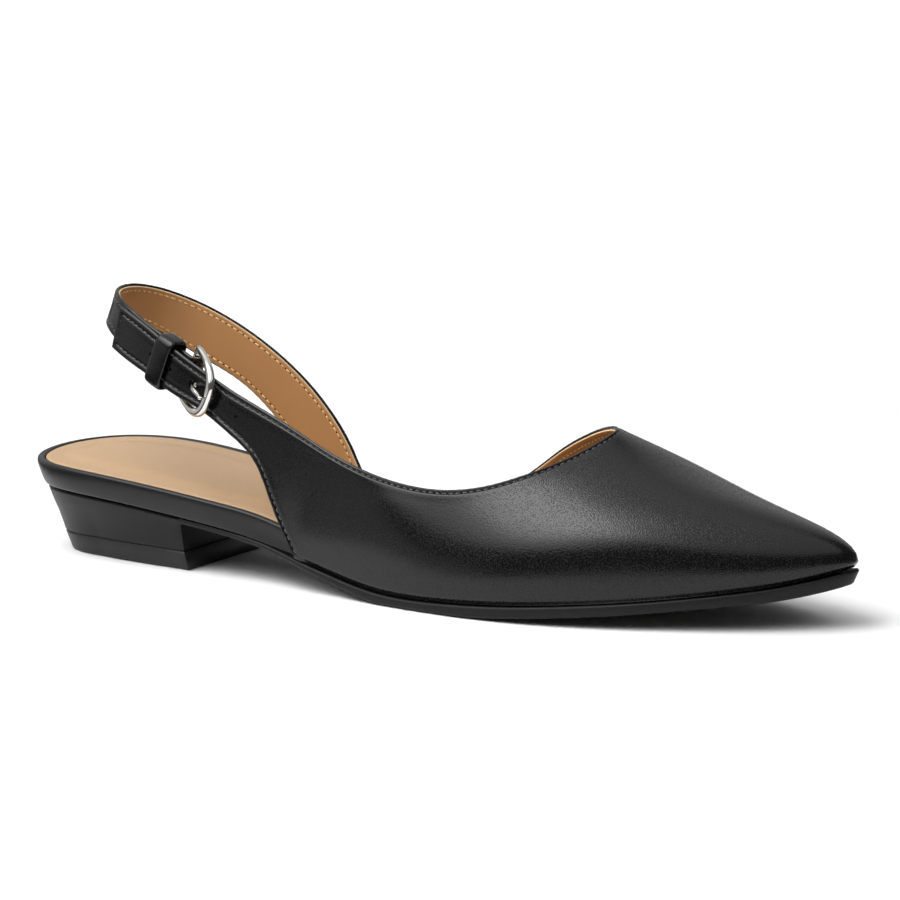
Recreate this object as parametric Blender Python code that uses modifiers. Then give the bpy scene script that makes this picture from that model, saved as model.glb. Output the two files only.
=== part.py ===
"""Low heel slingback, right shoe, standing empty on its sole.

Heel sizes are measured from the back of the heel seat: x runs to the toe,
y runs to the inner side of the foot, z runs up from the floor. The whole
shoe is then moved so that the middle of its box stands on the origin.
"""
import math

import bmesh
import bpy
import numpy as np
from mathutils import Matrix, Vector

MM = 0.001

# Main sizes, in millimetres
LENGTH = 265.8        # heel seat to toe tip, along the floor
TOE_Y = 6.5           # the point of the toe swings to the inner side
WALL = 1.6            # upper leather with its lining
FIT = 0.3             # gap between pieces that touch
BREAST = 62.6         # front face of the heel
LIFT = 5.6            # height of the top piece under the heel
HEEL_TAPER = 34.0     # the heel narrows over this length behind its breast
SOCK = 0.9            # sock leather on the footbed
RIM = 2.2             # rolled rim of the footbed round the sock
INNER_RISE = 1.6      # the footbed stands higher along the arch
HEEL_SHIFT = (-133.1, 0.35)  # puts the middle of the box on the origin

# Buckle, keeper and the punched end of the strap
BAR_R = 1.0           # pivot bar of the buckle
BAR_HALF = 8.4        # half the clear height of the frame
SWELL = 0.2           # the arms bow out this far past the bar
FRONT_R = 1.3         # front of the frame, thicker than its arms
REACH = 15.2          # pivot bar to the front of the frame
PRONG_R = 0.75
KEEPER = 6.4          # width of the keeper loop along the strap
KEEPER_T = 1.0
KEEPER_BACK = 7.8     # keeper centre behind the pivot bar
HOLES = 5
FIRST_HOLE = 17.8     # from the tip of the billet
HOLE_PITCH = 9.0
HOLE_R = 1.0
PRONG_HOLE = 2        # the prong stands in the third hole

# Foot table, one row for each station from heel to toe
# x, outer edge y, inner edge y, height of the seat, sole thickness, footbed
FOOT = [
    (6.0, -18.2, 18.2, 20.7, 2.2, 7.4),
    (28.0, -28.6, 28.2, 20.3, 2.2, 7.4),
    (60.0, -28.8, 27.4, 17.1, 2.2, 7.5),
    (90.0, -29.3, 24.9, 12.7, 2.2, 7.4),
    (106.0, -30.8, 25.0, 9.2, 2.4, 6.8),
    (120.0, -32.8, 26.5, 6.1, 2.9, 5.8),
    (133.0, -34.9, 29.0, 3.8, 3.4, 4.8),
    (146.0, -36.8, 32.0, 3.1, 3.6, 4.2),
    (160.0, -38.1, 35.3, 3.5, 3.8, 3.8),
    (178.0, -38.0, 37.6, 4.6, 3.8, 3.5),
    (196.0, -34.9, 36.8, 6.1, 3.7, 3.3),
    (216.0, -28.2, 32.8, 8.0, 3.6, 3.2),
    (236.0, -19.0, 26.2, 10.5, 3.7, 3.1),
    (254.0, -8.0, 18.0, 13.5, 4.3, 3.0),
    (LENGTH, TOE_Y, TOE_Y, 16.6, 4.4, 3.0),
]

# Outer strap end and outer quarter, from the billet tip to the rear corner
# top edge x, y, z, then lower edge x, y, z
BILLET = [
    (39.0, -21.2, 77.0, 35.6, -21.0, 64.4),
    (48.0, -24.2, 73.6, 43.0, -23.8, 61.4),
    (58.0, -26.8, 69.0, 53.2, -26.4, 57.4),
    (67.0, -28.5, 64.6, 62.2, -28.1, 53.4),
    (76.0, -28.9, 60.0, 71.4, -28.6, 49.8),
    (86.0, -30.0, 55.6, 81.4, -30.0, 44.6),
    (97.0, -30.8, 51.2, 91.6, -31.0, 37.2),
    (108.0, -31.0, 46.2, 98.0, -31.3, 24.6),
]

# Vamp and the quarters where they stand on the sole
# top edge x, y, z, station on the sole, then the pull of the curve:
# drop and swell at the top edge, rise and flare at the sole
OUTER = [
    (119.0, -31.2, 41.1, 105.6, 10.5, 0.0, 11.5, 1.2),
    (137.0, -32.0, 36.1, 133.0, 6.0, 2.3, 13.0, 2.8),
    (154.0, -32.0, 34.5, 160.0, 11.5, 2.1, 10.0, 2.2),
    (168.0, -29.4, 36.4, 184.0, 15.0, 3.0, 14.0, 1.8),
    (179.0, -23.0, 40.2, 206.0, 20.5, 4.0, 21.5, 0.8),
    (187.0, -13.5, 44.2, 230.0, 27.5, 5.9, 20.0, 1.6),
    (191.8, -5.5, 47.8, 251.0, 28.5, 0.4, 18.0, 3.9),
]
THROAT = (193.0, 0.5, 49.6, LENGTH, 35.5, -4.0, 13.5, 4.4)
INNER = [
    (191.0, 5.6, 50.0, 252.0, 22.5, 4.5, 11.7, 4.1),
    (185.0, 11.0, 48.8, 233.0, 16.5, 4.7, 20.5, 1.7),
    (175.0, 17.6, 44.8, 212.0, 16.0, 4.8, 13.0, 1.2),
    (163.0, 24.4, 38.4, 188.0, 12.0, 3.0, 13.0, 1.2),
    (151.0, 29.2, 30.2, 162.0, 9.0, 1.6, 9.0, 1.2),
    (137.0, 29.2, 22.4, 136.0, 6.0, 0.8, 6.0, 1.0),
    (118.0, 27.0, 18.8, 112.0, 4.0, 0.4, 4.0, 0.6),
    (104.0, 26.8, 19.6, 98.0, 4.0, 0.4, 4.0, 0.6),
    (95.4, 27.4, 22.6, 88.0, 4.0, 0.4, 4.0, 0.6),
]

# Inner strap root and the sling round the heel to the buckle
SLING = [
    (91.0, 28.2, 28.4, 80.0, 27.0, 19.0),
    (87.4, 28.4, 34.6, 72.8, 27.2, 28.0),
    (80.2, 28.2, 44.0, 64.0, 26.4, 38.2),
    (69.0, 27.0, 55.0, 53.6, 24.6, 48.0),
    (55.0, 24.8, 65.0, 43.2, 22.0, 54.4),
    (41.0, 20.6, 72.8, 33.6, 17.8, 60.4),
    (31.8, 12.8, 77.8, 27.4, 11.2, 65.8),
    (28.3, 0.0, 80.6, 24.6, 0.0, 69.2),
    (31.2, -11.8, 80.2, 27.0, -11.2, 70.0),
    (39.0, -18.6, 77.4, 34.4, -18.0, 66.8),
    (50.0, -22.6, 72.6, 45.0, -21.8, 61.4),
    (65.4, -25.8, 65.6, 60.6, -25.2, 54.2),
]


def ease(x, start, end):
    """0 before start, 1 after end, smooth between."""
    t = max(0.0, min(1.0, (x - start) / (end - start)))
    return t * t * (3 - 2 * t)


def spline(knots, values):
    """Smooth curve through rows of values, with free ends."""
    x = np.asarray(knots, float)
    y = np.asarray(values, float)
    n = len(x)
    h = np.diff(x)
    grid = np.eye(n)
    right = np.zeros_like(y)
    for i in range(1, n - 1):
        grid[i, i - 1:i + 2] = h[i - 1], 2 * (h[i - 1] + h[i]), h[i]
        right[i] = 6 * ((y[i + 1] - y[i]) / h[i] - (y[i] - y[i - 1]) / h[i - 1])
    bend = np.linalg.solve(grid, right)

    def at(t):
        t = float(t)
        i = int(np.clip(np.searchsorted(x, t) - 1, 0, n - 2))
        a = (x[i + 1] - t) / h[i]
        b = (t - x[i]) / h[i]
        pull = ((a ** 3 - a) * bend[i] + (b ** 3 - b) * bend[i + 1]) * h[i] ** 2 / 6
        return a * y[i] + b * y[i + 1] + pull
    return at


def turn(x):
    """Station along the foot as an angle, 0 at the heel and pi at the toe."""
    return math.acos(max(-1.0, min(1.0, 1 - 2 * x / LENGTH)))


def outline_rows():
    rows = [(0.0, 0.0)]
    rows += [(turn(r[0]), r[1]) for r in FOOT]
    rows += [(2 * math.pi - turn(r[0]), r[2]) for r in reversed(FOOT[:-1])]
    before = [(a - 2 * math.pi, y) for a, y in rows[-3:]]
    after = [(a + 2 * math.pi, y) for a, y in rows[:4]]
    return before + rows + after


OUTLINE = outline_rows()
edge_y = spline([r[0] for r in OUTLINE], [r[1] for r in OUTLINE])
HEIGHTS = [(0.0,) + FOOT[0][1:]] + FOOT
seat_z = spline([r[0] for r in HEIGHTS], [r[3] for r in HEIGHTS])
sole_t = spline([r[0] for r in HEIGHTS], [r[4] for r in HEIGHTS])
bed_t = spline([r[0] for r in HEIGHTS], [r[5] for r in HEIGHTS])


def bed_top(p):
    """Top of the footbed, a little higher along the arch side."""
    side = INNER_RISE * max(0.0, min(1.0, 0.5 + p[1] / 56.0))
    return seat_z(p[0]) + bed_t(p[0]) + side * (1 - ease(p[0], 95.0, 135.0))


def tread_z(x):
    """Underside of the sole: flat on the floor under the ball of the foot."""
    return max(0.0, seat_z(x) - sole_t(x))


def edge(angle, inset=0.0, inset_back=None):
    """Point on the foot outline, moved in by a distance, and the way out."""
    def on(a):
        return np.array([LENGTH * (1 - math.cos(a)) / 2, edge_y(a)])
    p = on(angle)
    along = on(angle + 1e-3) - on(angle - 1e-3)
    along /= np.linalg.norm(along)
    inward = np.array([-along[1], along[0]])
    back = inset if inset_back is None else inset_back
    move = inset + (back - inset) * max(0.0, inward[0]) ** 2
    return p + inward * move, -inward


# Build helpers

def clear():
    for thing in list(bpy.data.objects):
        bpy.data.objects.remove(thing, do_unlink=True)


def collection(name):
    group = bpy.data.collections.new(name)
    bpy.context.scene.collection.children.link(group)
    return group


def material(name, colour, rough, metal=0.0):
    mat = bpy.data.materials.new(name)
    mat.use_nodes = True
    shader = mat.node_tree.nodes["Principled BSDF"]
    shader.inputs["Base Color"].default_value = (*colour, 1.0)
    shader.inputs["Roughness"].default_value = rough
    shader.inputs["Metallic"].default_value = metal
    mat.diffuse_color = (*colour, 1.0)
    return mat


def place(p):
    """Heel sizes in millimetres to the shoe's frame in metres."""
    return ((p[0] + HEEL_SHIFT[0]) * MM, (p[1] + HEEL_SHIFT[1]) * MM, p[2] * MM)


def add(name, bm, mat, group):
    bmesh.ops.recalc_face_normals(bm, faces=bm.faces)
    mesh = bpy.data.meshes.new(name)
    bm.to_mesh(mesh)
    bm.free()
    thing = bpy.data.objects.new(name, mesh)
    group.objects.link(thing)
    if mat:
        mesh.materials.append(mat)
    return thing


def loft(rings):
    """Solid through rings of equal count, its ends closed side to side."""
    bm = bmesh.new()
    loops = [[bm.verts.new(place(p)) for p in ring] for ring in rings]
    n = len(rings[0])
    for low, high in zip(loops, loops[1:]):
        for i in range(n):
            k = (i + 1) % n
            bm.faces.new((low[i], low[k], high[k], high[i]))
    for ring in (loops[0], loops[-1]):
        i, k = 0, n - 1
        while k - i > 2:
            bm.faces.new((ring[i], ring[i + 1], ring[k - 1], ring[k]))
            i, k = i + 1, k - 1
        if k - i == 2:
            bm.faces.new((ring[i], ring[i + 1], ring[k]))
    return bm


# Sole, heel and footbed

ROUND = 96


def whole_turns():
    return [2 * math.pi * (i + 0.5) / ROUND for i in range(ROUND)]


def bed_inset(angle):
    """The footbed edge tucks inside the upper where the quarters begin."""
    x = LENGTH * (1 - math.cos(angle)) / 2
    outer = ease(x, 70.0, 94.0)
    inner = ease(x, 50.0, 74.0)
    return (WALL + FIT) * (outer if angle < math.pi else inner) + 0.6 * ease(x, 235.0, 262.0)


def bed_ring(inset, back, part, lift):
    ring = []
    for a in whole_turns():
        hidden = min(1.0, bed_inset(a) / (WALL + FIT))
        extra = inset * (1 - hidden) + min(inset, 0.4) * hidden
        p, _ = edge(a, bed_inset(a) + extra, bed_inset(a) + back * (1 - hidden))
        low = seat_z(p[0])
        ring.append((p[0], p[1], low + part * (bed_top(p) - low) + lift))
    return ring


def deep_ring(inset, lift):
    ring = []
    for a in whole_turns():
        p, _ = edge(a, bed_inset(a) + inset)
        ring.append((p[0], p[1], bed_top(p) + lift))
    return ring


def footbed(mat, group):
    rings = [
        bed_ring(1.6, 3.0, 0.0, 0.0),
        bed_ring(0.4, 1.1, 0.45, 0.0),
        bed_ring(0.0, 0.0, 0.85, 0.0),
        bed_ring(0.3, 0.3, 1.0, -0.3),
        deep_ring(1.2, 0.0),
        deep_ring(RIM, -0.3),
        deep_ring(RIM + 0.1, -SOCK - FIT - 0.2),
    ]
    return add("footbed", loft(rings), mat, group)


def insole_sock(mat, group):
    rings = [
        deep_ring(RIM + FIT + 0.1, -SOCK - 0.2),
        deep_ring(RIM + FIT + 0.1, -0.5),
        deep_ring(RIM + FIT + 0.6, -0.2),
    ]
    return add("insole_sock", loft(rings), mat, group)


def sole_turns():
    start = turn(BREAST + FIT)
    count = 72
    step = (2 * math.pi - 2 * start) / (count - 1)
    return [start + step * i for i in range(count)]


def sole_ring(inset, top, lift):
    ring = []
    for a in sole_turns():
        x = LENGTH * (1 - math.cos(a)) / 2
        tuck = 2.0 - 2.4 * ease(x, 88.0, 112.0)
        p, _ = edge(a, tuck + inset)
        x = max(p[0], BREAST + FIT)
        if a in (sole_turns()[0], sole_turns()[-1]):
            x = BREAST + FIT
        z = seat_z(x) - FIT if top else tread_z(x)
        ring.append((x, p[1], z + lift))
    return ring


def outsole(mat, group):
    rings = [
        sole_ring(1.2, False, 0.0),
        sole_ring(0.3, False, 0.35),
        sole_ring(0.0, False, 1.0),
        sole_ring(0.0, True, -0.4),
        sole_ring(0.4, True, 0.0),
    ]
    return add("outsole", loft(rings), mat, group)


def heel_ring(side, back, narrow, breast, height):
    """Ring of the heel: it narrows to a round back, straight at the breast."""
    ring = []
    count = 40
    reach = turn(breast)
    for i in range(count):
        a = reach - 2 * reach * i / (count - 1)
        p, _ = edge(a, side, back)
        x = breast if i in (0, count - 1) else min(p[0], breast)
        y = p[1] * (1 - narrow * min(1.0, (breast - x) / HEEL_TAPER))
        z = seat_z(x) - FIT if height is None else height
        ring.append((x, y, z))
    return ring


def heel_block(mat, group):
    rings = [
        heel_ring(5.4, 7.0, 0.2, BREAST - 0.2, LIFT + FIT),
        heel_ring(4.1, 5.5, 0.12, BREAST - 0.2, LIFT + 6.5),
        heel_ring(3.0, 3.5, 0.0, BREAST, None),
    ]
    return add("heel_block", loft(rings), mat, group)


def heel_top_piece(mat, group):
    rings = [
        heel_ring(6.8, 10.5, 0.2, BREAST + 0.4, 0.0),
        heel_ring(6.4, 10.1, 0.2, BREAST + 0.6, 0.5),
        heel_ring(5.3, 7.5, 0.2, BREAST, LIFT - 0.5),
        heel_ring(5.6, 7.8, 0.2, BREAST - 0.3, LIFT),
    ]
    return add("heel_top_piece", loft(rings), mat, group)


# Upper

def strap_rib(row):
    top = np.array(row[:3])
    low = np.array(row[3:6])
    return [top, top + (low - top) / 3, low + (top - low) / 3, low]


def foot_rib(row, inner):
    angle = turn(row[3])
    if inner:
        angle = 2 * math.pi - angle
    p, out = edge(angle)
    top = np.array(row[:3])
    low = np.array([p[0], p[1], seat_z(row[3])])
    out = np.array([out[0], out[1], 0.0])
    up = np.array([0.0, 0.0, 1.0])
    chord = (low - top) / np.linalg.norm(low - top)
    drop, swell, rise, flare = row[4:]
    lift = out - chord * out.dot(chord)
    lift /= np.linalg.norm(lift)
    return [top, top + chord * drop + lift * swell, low + up * rise + out * flare, low]


def sling_end(last, before):
    """The sling turns round the pivot bar and back on the inside."""
    top, low = np.array(last[:3]), np.array(last[3:6])
    mid = (top + low) / 2
    old = (np.array(before[:3]) + np.array(before[3:6])) / 2
    wide = (top - low) / np.linalg.norm(top - low)
    along = mid - old
    along -= wide * along.dot(wide)
    along /= np.linalg.norm(along)
    out = np.cross(wide, along)
    if out[1] > 0:
        out = -out
    radius = BAR_R + FIT + WALL
    centre = mid + along * 2.0 - out * radius
    half = np.linalg.norm(top - low) / 2
    rows = []
    for degrees in (0, 45, 90, 135, 180):
        a = math.radians(degrees)
        p = centre + out * radius * math.cos(a) + along * radius * math.sin(a)
        rows.append(strap_rib((*(p + wide * half), *(p - wide * half))))
    p = centre - out * radius - along * 2.0
    rows.append(strap_rib((*(p + wide * half), *(p - wide * half))))
    return rows, centre, along, wide, out


def upper_ribs():
    outer = [foot_rib(r, False) for r in OUTER] + [foot_rib(THROAT, False)]
    inner = [foot_rib(r, True) for r in INNER]
    ribs = [strap_rib(r) for r in BILLET] + outer + inner
    ribs += [strap_rib(r) for r in SLING]
    ribs += sling_end(SLING[-1], SLING[-2])[0]
    first = len(BILLET)
    last = first + len(outer) + len(inner) - 1
    return ribs, first, last


class Upper:
    """The upper as one band: across from the top edge to the lower edge."""

    def __init__(self):
        ribs, first, last = upper_ribs()
        ribs = np.array(ribs)
        step = np.linalg.norm(np.diff(ribs, axis=0), axis=2)
        self.knots = np.concatenate([[0], np.cumsum(step[:, [0, 3]].mean(axis=1))])
        self.hands = [spline(self.knots, ribs[:, k]) for k in range(3)]
        self.first, self.last = self.knots[first], self.knots[last]
        self.rear_outer = spline(self.knots[:first + 1], ribs[:first + 1, 3])
        self.rear_inner = spline(self.knots[last:], ribs[last:, 3])
        turns = [turn(r[3]) for r in OUTER] + [math.pi]
        turns += [2 * math.pi - turn(r[3]) for r in INNER]
        self.turns = spline(self.knots[first:last + 1], turns)

    def lower(self, u):
        if u <= self.first:
            return self.rear_outer(u)
        if u >= self.last:
            return self.rear_inner(u)
        p, _ = edge(self.turns(u))
        return np.array([p[0], p[1], seat_z(p[0])])

    def point(self, u, v):
        a, b, c = (hand(u) for hand in self.hands)
        d = self.lower(u)
        w = 1 - v
        return w ** 3 * a + 3 * w * w * v * b + 3 * w * v * v * c + v ** 3 * d


UPPER = Upper()
ACROSS = 10


def upper_stations():
    marks = []
    for a, b in zip(UPPER.knots, UPPER.knots[1:]):
        count = max(2, int(round((b - a) / 5.0)))
        marks += [a + (b - a) * i / count for i in range(count)]
    return marks + [UPPER.knots[-1]]


def upper(mat, group):
    bm = bmesh.new()
    marks = upper_stations()
    rows = []
    for u in marks:
        rows.append([bm.verts.new(place(UPPER.point(u, k / ACROSS)))
                     for k in range(ACROSS + 1)])
    for a, b in zip(rows, rows[1:]):
        for k in range(ACROSS):
            bm.faces.new((a[k], a[k + 1], b[k + 1], b[k]))
    mesh = bpy.data.meshes.new("upper")
    bm.to_mesh(mesh)
    bm.free()
    thing = bpy.data.objects.new("upper", mesh)
    group.objects.link(thing)
    mesh.materials.append(mat)
    wall = thing.modifiers.new("wall", "SOLIDIFY")
    wall.thickness = WALL * MM
    wall.offset = -1.0
    return thing


def as_row(p):
    return Vector([float(c) for c in p])


def billet_at(distance):
    """Middle of the billet, a distance from its tip, and the ways it faces."""
    u = UPPER.knots[0]
    here = UPPER.point(u, 0.5)
    walked = 0.0
    while walked < distance:
        u += 0.1
        there = UPPER.point(u, 0.5)
        walked += np.linalg.norm(there - here)
        here = there
    along = UPPER.point(u + 0.5, 0.5) - UPPER.point(u - 0.5, 0.5)
    wide = UPPER.point(u, 0.2) - UPPER.point(u, 0.8)
    out = np.cross(along, wide)
    out /= np.linalg.norm(out)
    return here, along / np.linalg.norm(along), out if out[1] < 0 else -out


def square_up(centre, along, out):
    """Axes that carry a small piece: x along the strap, y across, z out."""
    x = as_row(along).normalized()
    z = as_row(out)
    z = (z - x * z.dot(x)).normalized()
    axes = Matrix((x, z.cross(x), z)).transposed().to_4x4()
    axes.translation = Vector(place(centre))
    return axes


def cutter(name, bm, group):
    thing = add(name, bm, None, group)
    thing.hide_render = True
    thing.display_type = "WIRE"
    return thing


def punch(thing, tool):
    cut = thing.modifiers.new("cut " + tool.name, "BOOLEAN")
    cut.operation = "DIFFERENCE"
    cut.solver = "EXACT"
    cut.object = tool


def punched_holes(thing, group):
    """Holes through the billet only: it lies clear of the sling beneath."""
    bm = bmesh.new()
    for i in range(HOLES):
        p, along, out = billet_at(FIRST_HOLE + HOLE_PITCH * i)
        radius = HOLE_R * (1.5 if i == PRONG_HOLE else 1.0)
        axes = square_up(p - out * WALL / 2, along, out)
        bmesh.ops.create_cone(bm, cap_ends=True, segments=10, radius1=radius * MM,
                              radius2=radius * MM, depth=(WALL + 0.5) * MM, matrix=axes)
    punch(thing, cutter("billet holes", bm, group))


def prong_slot(thing, group):
    """Slot in the turned end of the sling, where the prong holds the bar."""
    _, centre, along, wide, out = BUCKLE
    axes = square_up(centre + along * 0.6 - out * 0.1, along, out)
    size = Matrix.Diagonal((7.6 * MM, 3.6 * MM, 6.4 * MM, 1.0))
    bm = bmesh.new()
    bmesh.ops.create_cube(bm, size=1.0, matrix=axes @ size)
    punch(thing, cutter("prong slot", bm, group))


BUCKLE = sling_end(SLING[-1], SLING[-2])


def frame_axes():
    """The frame swings on the bar until its front lies on the billet."""
    _, centre, along, wide, out = BUCKLE
    for degrees in range(5, 60):
        tilt = math.radians(degrees)
        ahead = along * math.cos(tilt) + out * math.sin(tilt)
        front = centre + ahead * REACH
        rest = nearest(front, UPPER.knots[0], UPPER.first)
        if (front - rest).dot(out) > FRONT_R + FIT + 1.0:
            break
    return centre, ahead, wide


def nearest(target, start, end):
    """Point on the middle line of the band closest to a target."""
    best = min(np.linspace(start, end, 400),
               key=lambda u: np.linalg.norm(UPPER.point(u, 0.5) - target))
    return UPPER.point(best, 0.5)


def wire(name, points, radii, radius, closed, mat, group):
    path = bpy.data.curves.new(name, "CURVE")
    path.dimensions = "3D"
    path.bevel_depth = radius * MM
    path.bevel_resolution = 2
    path.use_fill_caps = not closed
    line = path.splines.new("POLY")
    line.points.add(len(points) - 1)
    for spot, p, r in zip(line.points, points, radii):
        spot.co = (*place(p), 1.0)
        spot.radius = r / radius
    line.use_cyclic_u = closed
    path.materials.append(mat)
    thing = bpy.data.objects.new(name, path)
    group.objects.link(thing)
    return thing


def buckle_frame(mat, group):
    """Ring with one straight side, the pivot bar, and a full front."""
    centre, ahead, wide = frame_axes()
    points, radii = [], []
    for i in range(9):
        points.append(centre + wide * BAR_HALF * (1 - i / 4))
        radii.append(BAR_R)
    for i in range(1, 24):
        a = math.pi * i / 24
        swing = math.sin(a) ** 0.75
        side = -(BAR_HALF + SWELL * math.sin(a) ** 2) * math.cos(a) / abs(math.cos(a) or 1.0)
        side *= abs(math.cos(a)) ** 0.75
        points.append(centre + wide * side + ahead * REACH * swing)
        radii.append(BAR_R + (FRONT_R - BAR_R) * math.sin(a) ** 2)
    return wire("buckle_frame", points, radii, BAR_R, True, mat, group)


def buckle_prong(mat, group):
    """Wire with an eye on the bar, up through the hole, onto the front."""
    centre, ahead, wide = frame_axes()
    hole, along, out = billet_at(FIRST_HOLE + HOLE_PITCH * PRONG_HOLE)
    up = np.cross(ahead, wide)
    if up[1] > 0:
        up = -up
    eye = BAR_R + FIT + PRONG_R
    front = centre + ahead * REACH + up * (FRONT_R + PRONG_R + FIT)
    points = []
    for degrees in range(300, 59, -30):
        a = math.radians(degrees)
        points.append(centre + ahead * eye * math.cos(a) + up * eye * math.sin(a))
    points.append(hole - along * 1.1 - out * (WALL + PRONG_R + 0.4))
    points.append(hole + along * 0.9 + out * 0.9)
    points.append(front - ahead * 2.4)
    points.append(front + ahead * 0.8)
    return wire("buckle_prong", points, [PRONG_R] * len(points), PRONG_R, False, mat, group)


def keeper_loop(mat, group):
    """Loop of leather round the billet and the sling."""
    _, centre, along, wide, out = BUCKLE
    target = centre - along * KEEPER_BACK
    billet = nearest(target, UPPER.knots[0], UPPER.first)
    sling = nearest(target, UPPER.knots[-8], UPPER.knots[-6])
    middle = (billet + sling) / 2 - out * WALL / 2
    half_out = np.linalg.norm(billet - sling) / 2 + WALL / 2 + FIT + 0.4
    half_wide = 7.0
    bm = bmesh.new()
    rows = []
    for side in (-0.5, 0.5):
        row = []
        for i in range(32):
            a = 2 * math.pi * i / 32
            c, d = math.cos(a), math.sin(a)
            p = middle + along * KEEPER * side
            p = p + wide * half_wide * math.copysign(abs(c) ** 0.4, c)
            p = p + out * half_out * math.copysign(abs(d) ** 0.4, d)
            row.append(bm.verts.new(place(p)))
        rows.append(row)
    for i in range(32):
        k = (i + 1) % 32
        bm.faces.new((rows[0][i], rows[0][k], rows[1][k], rows[1][i]))
    thing = add("keeper_loop", bm, mat, group)
    wall = thing.modifiers.new("wall", "SOLIDIFY")
    wall.thickness = KEEPER_T * MM
    wall.offset = 1.0
    return thing


def main():
    clear()
    shoe = collection("low heel slingback")
    tools = collection("cutters")
    black = (0.024, 0.023, 0.025)
    leather = material("black leather", black, 0.4)
    covered = material("covered heel leather", (0.035, 0.034, 0.036), 0.42)
    rubber = material("sole rubber", (0.026, 0.025, 0.027), 0.6)
    tan = material("tan sock leather", (0.55, 0.4, 0.24), 0.6)
    steel = material("polished steel", (0.75, 0.75, 0.76), 0.12, 1.0)
    outsole(rubber, shoe)
    heel_top_piece(rubber, shoe)
    heel_block(covered, shoe)
    footbed(covered, shoe)
    insole_sock(tan, shoe)
    shell = upper(leather, shoe)
    punched_holes(shell, tools)
    prong_slot(shell, tools)
    buckle_frame(steel, shoe)
    buckle_prong(steel, shoe)
    keeper_loop(leather, shoe)


main()
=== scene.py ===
"""Looks of the low heel slingback, right shoe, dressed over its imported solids.

Sizes are millimetres from the back of the heel seat: x runs to the toe, y to
the inner side of the foot, z up from the floor. on_shoe() turns them into the
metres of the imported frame.
"""
import math

import bmesh
import bpy
import numpy as np
from mathutils import Matrix, Quaternion, Vector, kdtree


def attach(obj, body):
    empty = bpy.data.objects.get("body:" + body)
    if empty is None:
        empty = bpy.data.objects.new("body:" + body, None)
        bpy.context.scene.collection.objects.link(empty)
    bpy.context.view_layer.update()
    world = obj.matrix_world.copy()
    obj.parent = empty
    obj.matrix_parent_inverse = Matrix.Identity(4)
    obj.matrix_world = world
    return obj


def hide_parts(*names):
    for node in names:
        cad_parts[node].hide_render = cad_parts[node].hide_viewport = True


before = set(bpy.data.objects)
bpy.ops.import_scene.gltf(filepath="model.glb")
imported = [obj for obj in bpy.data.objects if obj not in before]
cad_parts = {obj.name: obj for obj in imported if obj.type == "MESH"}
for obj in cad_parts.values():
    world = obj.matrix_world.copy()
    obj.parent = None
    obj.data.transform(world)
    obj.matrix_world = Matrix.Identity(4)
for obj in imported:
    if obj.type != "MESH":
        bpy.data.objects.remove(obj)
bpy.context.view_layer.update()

MM = 0.001

# Main sizes of the shoe, in millimetres, the same as in the part's source
LENGTH = 265.8  # heel seat to toe tip, along the floor
TOE_Y = 6.5  # the point of the toe swings to the inner side
WALL = 1.6  # upper leather with its lining
FIT = 0.3  # gap between pieces that touch
BREAST = 62.6  # front face of the heel
LIFT = 5.6  # height of the top piece under the heel
HEEL_TAPER = 34.0  # the heel narrows over this length
SOCK = 0.9  # sock leather on the footbed
RIM = 2.2  # rolled rim of the footbed round the sock
INNER_RISE = 1.6  # the footbed stands higher along the arch
RISE_ACROSS = 56.0  # the rise spreads over this width
RISE_FADES = (95.0, 135.0)  # and fades between these stations
HEEL_SHIFT = (-133.1, 0.35)  # puts the middle of the box on the origin

# Buckle, keeper and the punched end of the strap
BAR_R = 1.0  # pivot bar
BAR_HALF = 8.4  # half the clear height of the frame
SWELL = 0.2  # the arms bow out past the bar
FRONT_R = 1.3  # front of the frame
REACH = 15.2  # from the bar to the front
PRONG_R = 0.75  # wire of the prong
SLING_RUN = 2.0  # straight run of the sling before and after its turn
PRONG_SLOT = (7.6, 3.6, 6.4)  # slot in that turn: along, across, through
KEEPER = 6.4  # width of the loop, along the strap
KEEPER_T = 1.0  # its leather, folded
KEEPER_BACK = 7.8  # how far behind the bar it sits
KEEPER_HALF = 7.0  # half its opening across the strap
KEEPER_ROOM = 0.4  # room over the two straps in it
KEEPER_CROWN = 0.15  # its outer face is a little round
HOLES = 5
FIRST_HOLE = 17.8  # from the tip of the billet
HOLE_PITCH = 9.0
HOLE_R = 1.0
HOLE_SPRUNG = 0.62  # punched leather springs back
HOLE_WORN = 1.5  # the prong has opened its own
PRONG_HOLE = 2  # the prong stands in the third hole

# Sewing and folded edges of the upper
SKIN = 1.0  # outer leather, the rest of the wall is lining
FOLD_R = 0.55  # the folded edge is rounded over this depth
BEAD = 0.1  # and stands proud of the seam
GROOVE = 0.28  # the thread pulls the seam in
VAMP_GROOVE = 0.14  # and this much deeper along the vamp
GROOVE_HALF = 0.27  # its half width
PUFF = 0.08  # behind it the leather swells again
SEAM_IN = 1.9  # row of stitches in from a strap's folded edge
VAMP_SEAM_IN = 1.1  # the same row along the vamp
LINING_SEAM_IN = 2.4  # where it comes through the lining of the vamp
LINING_IN = 0.6  # cut edge of the lining below the folded leather
LINING_UP = 0.2  # it reaches this much higher along the vamp
DIMPLE = 0.12  # the thread pulls the lining in
DIMPLE_HALF = 0.4
TUCK = 0.75  # the leather turns in at the sole
TUCK_UP = 2.2  # over this height
STITCH = 2.1  # pitch of the stitches
STITCH_HALF = 0.41  # half a stitch, as a share of the pitch
STITCH_DIP = 0.3  # its ends go down into the leather
THREAD_R = 0.21  # a strong shoe thread
THREAD_WIDE = 1.15  # pressed a little flat
THREAD_LOW = 0.06  # it lies below the face of the straps
VAMP_LOW = 0.2  # and this much lower along the vamp
THREAD_IN = 0.02  # inside it lies below the face of the lining
NEEDLE = (0.34, 0.26)  # half length and half width of a needle's hole
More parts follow.
